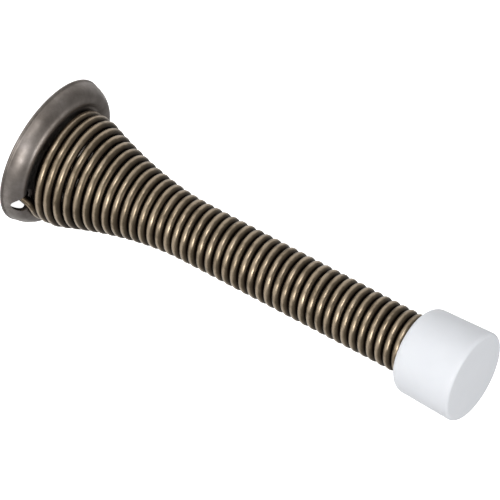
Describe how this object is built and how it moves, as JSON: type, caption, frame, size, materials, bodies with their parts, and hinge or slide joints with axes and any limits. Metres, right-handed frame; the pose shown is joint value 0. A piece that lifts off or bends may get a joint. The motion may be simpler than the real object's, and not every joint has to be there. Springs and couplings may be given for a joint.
{
  "type": "spring door stop",
  "caption": "Spring door stop: a pressed wall rosette, a closed-wound flexible spring with a flared root, a white rubber cap and its mounting screw.",
  "frame": {"origin": "centre of the rosette on the wall plane", "axes": "+Z out of the wall along the rosette's axis towards the cap; the slot for the wire is between +X and -Y"},
  "size_m": [0.025, 0.025, 0.0814],
  "materials": {
    "rosette_metal": "antique nickel-bronze plated, satin",
    "spring_wire": "antique brass plated, satin",
    "white_rubber": "matte",
    "screw_steel": "antique brass plated"
  },
  "bodies": {
    "rosette": {"rosette": "rosette_metal", "spring_base_coils": "spring_wire"},
    "coil_01": {"spring_coil_01": "spring_wire"},
    "coil_02": {"spring_coil_02": "spring_wire"},
    "coil_03": {"spring_coil_03": "spring_wire"},
    "coil_04": {"spring_coil_04": "spring_wire"},
    "coil_05": {"spring_coil_05": "spring_wire"},
    "coil_06": {"spring_coil_06": "spring_wire"},
    "coil_07": {"spring_coil_07": "spring_wire"},
    "coil_08": {"spring_coil_08": "spring_wire"},
    "coil_09": {"spring_coil_09": "spring_wire"},
    "coil_10": {"spring_coil_10": "spring_wire"},
    "coil_11": {"spring_coil_11": "spring_wire"},
    "coil_12": {"spring_coil_12": "spring_wire"},
    "coil_13": {"spring_coil_13": "spring_wire"},
    "coil_14": {"spring_coil_14": "spring_wire"},
    "coil_15": {"spring_coil_15": "spring_wire"},
    "coil_16": {"spring_coil_16": "spring_wire"},
    "coil_17": {"spring_coil_17": "spring_wire"},
    "coil_18": {"spring_coil_18": "spring_wire"},
    "coil_19": {"spring_coil_19": "spring_wire"},
    "coil_20": {"spring_coil_20": "spring_wire"},
    "coil_21": {"spring_coil_21": "spring_wire"},
    "coil_22": {"spring_coil_22": "spring_wire"},
    "coil_23": {"spring_coil_23": "spring_wire"},
    "coil_24": {"spring_coil_24": "spring_wire"},
    "coil_25": {"spring_coil_25": "spring_wire"},
    "coil_26": {"spring_coil_26": "spring_wire"},
    "coil_27": {"spring_coil_27": "spring_wire"},
    "coil_28": {"spring_coil_28": "spring_wire"},
    "coil_29": {"spring_coil_29": "spring_wire"},
    "coil_30": {"spring_coil_30": "spring_wire"},
    "coil_31": {"spring_coil_31": "spring_wire"},
    "coil_32": {"spring_coil_32": "spring_wire"},
    "spring_tip": {"spring_tip_coil_1": "spring_wire", "spring_tip_coil_2": "spring_wire", "spring_tip_coil_3": "spring_wire", "spring_tip_coil_4": "spring_wire", "spring_tip_coil_5": "spring_wire"},
    "cap": {"bumper_cap": "white_rubber"},
    "screw": {"mounting_screw": "screw_steel"}
  },
  "joints": [
    {"name": "flex_y_01", "type": "hinge", "parent": "rosette", "child": "coil_01", "pos_m": [0.00944, 0, 0.00564], "axis": [0.9981, 0, 0.061], "range_deg": [-0.279, 0.279], "stiffness_Nm_per_rad": 0.1206},
    {"name": "flex_x_01", "type": "hinge", "parent": "coil_01", "child": "coil_02", "pos_m": [0.0005, 0.00865, 0.00701], "axis": [0, 1, 0], "range_deg": [-0.285, 0.285], "stiffness_Nm_per_rad": 0.1233},
    {"name": "flex_y_02", "type": "hinge", "parent": "coil_02", "child": "coil_03", "pos_m": [-0.00757, 0, 0.00844], "axis": [0.9981, 0, 0.061], "range_deg": [-0.311, 0.311], "stiffness_Nm_per_rad": 0.1338},
    {"name": "flex_x_02", "type": "hinge", "parent": "coil_03", "child": "coil_04", "pos_m": [0.00027, -0.00734, 0.01084], "axis": [0, 1, 0], "range_deg": [-0.338, 0.338], "stiffness_Nm_per_rad": 0.1453},
    {"name": "flex_y_03", "type": "hinge", "parent": "coil_04", "child": "coil_05", "pos_m": [0.00689, 0, 0.01316], "axis": [0.9981, 0, 0.061], "range_deg": [-0.367, 0.367], "stiffness_Nm_per_rad": 0.1578},
    {"name": "flex_x_03", "type": "hinge", "parent": "coil_05", "child": "coil_06", "pos_m": [0.00003, 0.00623, 0.01466], "axis": [0, 1, 0], "range_deg": [-0.398, 0.398], "stiffness_Nm_per_rad": 0.1711},
    {"name": "flex_y_04", "type": "hinge", "parent": "coil_06", "child": "coil_07", "pos_m": [-0.00583, 0, 0.01622], "axis": [0.9981, 0, 0.061], "range_deg": [-0.43, 0.43], "stiffness_Nm_per_rad": 0.1852},
    {"name": "flex_x_04", "type": "hinge", "parent": "coil_07", "child": "coil_08", "pos_m": [-0.0002, -0.00534, 0.01849], "axis": [0, 1, 0], "range_deg": [-0.464, 0.464], "stiffness_Nm_per_rad": 0.1997},
    {"name": "flex_y_05", "type": "hinge", "parent": "coil_08", "child": "coil_09", "pos_m": [0.00465, 0, 0.0207], "axis": [0.9981, 0, 0.061], "range_deg": [-0.5, 0.5], "stiffness_Nm_per_rad": 0.2141},
    {"name": "flex_x_05", "type": "hinge", "parent": "coil_09", "child": "coil_10", "pos_m": [-0.00043, 0.00468, 0.02231], "axis": [0, 1, 0], "range_deg": [-0.53, 0.53], "stiffness_Nm_per_rad": 0.2276},
    {"name": "flex_y_06", "type": "hinge", "parent": "coil_10", "child": "coil_11", "pos_m": [-0.005, 0, 0.02395], "axis": [0.9981, 0, 0.061], "range_deg": [-0.56, 0.56], "stiffness_Nm_per_rad": 0.2393},
    {"name": "flex_x_06", "type": "hinge", "parent": "coil_11", "child": "coil_12", "pos_m": [-0.00067, -0.0043, 0.02614], "axis": [0, 1, 0], "range_deg": [-0.57, 0.57], "stiffness_Nm_per_rad": 0.2478},
    {"name": "flex_y_07", "type": "hinge", "parent": "coil_12", "child": "coil_13", "pos_m": [0.00345, 0, 0.02831], "axis": [0.9981, 0, 0.061], "range_deg": [-0.58, 0.58], "stiffness_Nm_per_rad": 0.2514},
    {"name": "flex_x_07", "type": "hinge", "parent": "coil_13", "child": "coil_14", "pos_m": [-0.0009, 0.00424, 0.02996], "axis": [0, 1, 0], "range_deg": [-0.58, 0.58], "stiffness_Nm_per_rad": 0.2514},
    {"name": "flex_y_08", "type": "hinge", "parent": "coil_14", "child": "coil_15", "pos_m": [-0.00526, 0, 0.0317], "axis": [0.9981, 0, 0.061], "range_deg": [-1.49, 1.49], "stiffness_Nm_per_rad": 0.2514},
    {"name": "flex_x_08", "type": "hinge", "parent": "coil_15", "child": "coil_16", "pos_m": [-0.00115, -0.00424, 0.03396], "axis": [0, 1, 0], "range_deg": [-1.49, 1.49], "stiffness_Nm_per_rad": 0.2514},
    {"name": "flex_y_09", "type": "hinge", "parent": "coil_16", "child": "coil_17", "pos_m": [0.00296, 0, 0.03621], "axis": [0.9981, 0, 0.061], "range_deg": [-1.49, 1.49], "stiffness_Nm_per_rad": 0.2514},
    {"name": "flex_x_09", "type": "hinge", "parent": "coil_17", "child": "coil_18", "pos_m": [-0.00139, 0.00424, 0.03795], "axis": [0, 1, 0], "range_deg": [-1.49, 1.49], "stiffness_Nm_per_rad": 0.2514},
    {"name": "flex_y_10", "type": "hinge", "parent": "coil_18", "child": "coil_19", "pos_m": [-0.00575, 0, 0.03969], "axis": [0.9981, 0, 0.061], "range_deg": [-1.49, 1.49], "stiffness_Nm_per_rad": 0.2514},
    {"name": "flex_x_10", "type": "hinge", "parent": "coil_19", "child": "coil_20", "pos_m": [-0.00164, -0.00424, 0.04194], "axis": [0, 1, 0], "range_deg": [-1.49, 1.49], "stiffness_Nm_per_rad": 0.2514},
    {"name": "flex_y_11", "type": "hinge", "parent": "coil_20", "child": "coil_21", "pos_m": [0.00247, 0, 0.0442], "axis": [0.9981, 0, 0.061], "range_deg": [-1.49, 1.49], "stiffness_Nm_per_rad": 0.2514},
    {"name": "flex_x_11", "type": "hinge", "parent": "coil_21", "child": "coil_22", "pos_m": [-0.00188, 0.00424, 0.04593], "axis": [0, 1, 0], "range_deg": [-1.49, 1.49], "stiffness_Nm_per_rad": 0.2514},
    {"name": "flex_y_12", "type": "hinge", "parent": "coil_22", "child": "coil_23", "pos_m": [-0.00623, 0, 0.04767], "axis": [0.9981, 0, 0.061], "range_deg": [-1.49, 1.49], "stiffness_Nm_per_rad": 0.2514},
    {"name": "flex_x_12", "type": "hinge", "parent": "coil_23", "child": "coil_24", "pos_m": [-0.00212, -0.00424, 0.04993], "axis": [0, 1, 0], "range_deg": [-1.49, 1.49], "stiffness_Nm_per_rad": 0.2514},
    {"name": "flex_y_13", "type": "hinge", "parent": "coil_24", "child": "coil_25", "pos_m": [0.00199, 0, 0.05218], "axis": [0.9981, 0, 0.061], "range_deg": [-1.49, 1.49], "stiffness_Nm_per_rad": 0.2514},
    {"name": "flex_x_13", "type": "hinge", "parent": "coil_25", "child": "coil_26", "pos_m": [-0.00237, 0.00424, 0.05392], "axis": [0, 1, 0], "range_deg": [-1.49, 1.49], "stiffness_Nm_per_rad": 0.2514},
    {"name": "flex_y_14", "type": "hinge", "parent": "coil_26", "child": "coil_27", "pos_m": [-0.00672, 0, 0.05566], "axis": [0.9981, 0, 0.061], "range_deg": [-1.49, 1.49], "stiffness_Nm_per_rad": 0.2514},
    {"name": "flex_x_14", "type": "hinge", "parent": "coil_27", "child": "coil_28", "pos_m": [-0.00261, -0.00424, 0.05791], "axis": [0, 1, 0], "range_deg": [-1.49, 1.49], "stiffness_Nm_per_rad": 0.2514},
    {"name": "flex_y_15", "type": "hinge", "parent": "coil_28", "child": "coil_29", "pos_m": [0.0015, 0, 0.06017], "axis": [0.9981, 0, 0.061], "range_deg": [-1.49, 1.49], "stiffness_Nm_per_rad": 0.2514},
    {"name": "flex_x_15", "type": "hinge", "parent": "coil_29", "child": "coil_30", "pos_m": [-0.00286, 0.00424, 0.0619], "axis": [0, 1, 0], "range_deg": [-1.49, 1.49], "stiffness_Nm_per_rad": 0.2514},
    {"name": "flex_y_16", "type": "hinge", "parent": "coil_30", "child": "coil_31", "pos_m": [-0.00721, 0, 0.06364], "axis": [0.9981, 0, 0.061], "range_deg": [-1.49, 1.49], "stiffness_Nm_per_rad": 0.2514},
    {"name": "flex_x_16", "type": "hinge", "parent": "coil_31", "child": "coil_32", "pos_m": [-0.0031, -0.00424, 0.0659], "axis": [0, 1, 0], "range_deg": [-1.49, 1.49], "stiffness_Nm_per_rad": 0.2514},
    {"name": "flex_y_17", "type": "hinge", "parent": "coil_32", "child": "spring_tip", "pos_m": [0.00101, 0, 0.06815], "axis": [0.9981, 0, 0.061], "range_deg": [-1.49, 1.49], "stiffness_Nm_per_rad": 0.2514},
    {"name": "cap_pull_off", "type": "slide", "parent": "spring_tip", "child": "cap", "axis": [-0.061, 0, 0.9981], "range_m": [0, 0.012]},
    {"name": "screw_drive_in", "type": "slide", "parent": "rosette", "child": "screw", "axis": [0, 0, -1], "range_m": [0, 0.0154]}
  ],
  "couplings": [
    {"joint": "flex_y_02", "follows": "flex_y_01", "ratio": 1.1075},
    {"joint": "flex_x_02", "follows": "flex_x_01", "ratio": 1.1789},
    {"joint": "flex_y_03", "follows": "flex_y_01", "ratio": 1.3082},
    {"joint": "flex_x_03", "follows": "flex_x_01", "ratio": 1.3895},
    {"joint": "flex_y_04", "follows": "flex_y_01", "ratio": 1.534},
    {"joint": "flex_x_04", "follows": "flex_x_01", "ratio": 1.6211},
    {"joint": "flex_y_05", "follows": "flex_y_01", "ratio": 1.7742},
    {"joint": "flex_x_05", "follows": "flex_x_01", "ratio": 1.8456},
    {"joint": "flex_y_06", "follows": "flex_y_01", "ratio": 1.9821},
    {"joint": "flex_x_06", "follows": "flex_x_01", "ratio": 2.0105},
    {"joint": "flex_y_07", "follows": "flex_y_01", "ratio": 2.0824},
    {"joint": "flex_x_07", "follows": "flex_x_01", "ratio": 2.0386},
    {"joint": "flex_y_08", "follows": "flex_y_01", "ratio": 5.3262},
    {"joint": "flex_x_08", "follows": "flex_x_01", "ratio": 5.214},
    {"joint": "flex_y_09", "follows": "flex_y_01", "ratio": 5.3262},
    {"joint": "flex_x_09", "follows": "flex_x_01", "ratio": 5.214},
    {"joint": "flex_y_10", "follows": "flex_y_01", "ratio": 5.3262},
    {"joint": "flex_x_10", "follows": "flex_x_01", "ratio": 5.214},
    {"joint": "flex_y_11", "follows": "flex_y_01", "ratio": 5.3262},
    {"joint": "flex_x_11", "follows": "flex_x_01", "ratio": 5.214},
    {"joint": "flex_y_12", "follows": "flex_y_01", "ratio": 5.3262},
    {"joint": "flex_x_12", "follows": "flex_x_01", "ratio": 5.214},
    {"joint": "flex_y_13", "follows": "flex_y_01", "ratio": 5.3262},
    {"joint": "flex_x_13", "follows": "flex_x_01", "ratio": 5.214},
    {"joint": "flex_y_14", "follows": "flex_y_01", "ratio": 5.3262},
    {"joint": "flex_x_14", "follows": "flex_x_01", "ratio": 5.214},
    {"joint": "flex_y_15", "follows": "flex_y_01", "ratio": 5.3262},
    {"joint": "flex_x_15", "follows": "flex_x_01", "ratio": 5.214},
    {"joint": "flex_y_16", "follows": "flex_y_01", "ratio": 5.3262},
    {"joint": "flex_x_16", "follows": "flex_x_01", "ratio": 5.214},
    {"joint": "flex_y_17", "follows": "flex_y_01", "ratio": 5.3262}
  ]
}
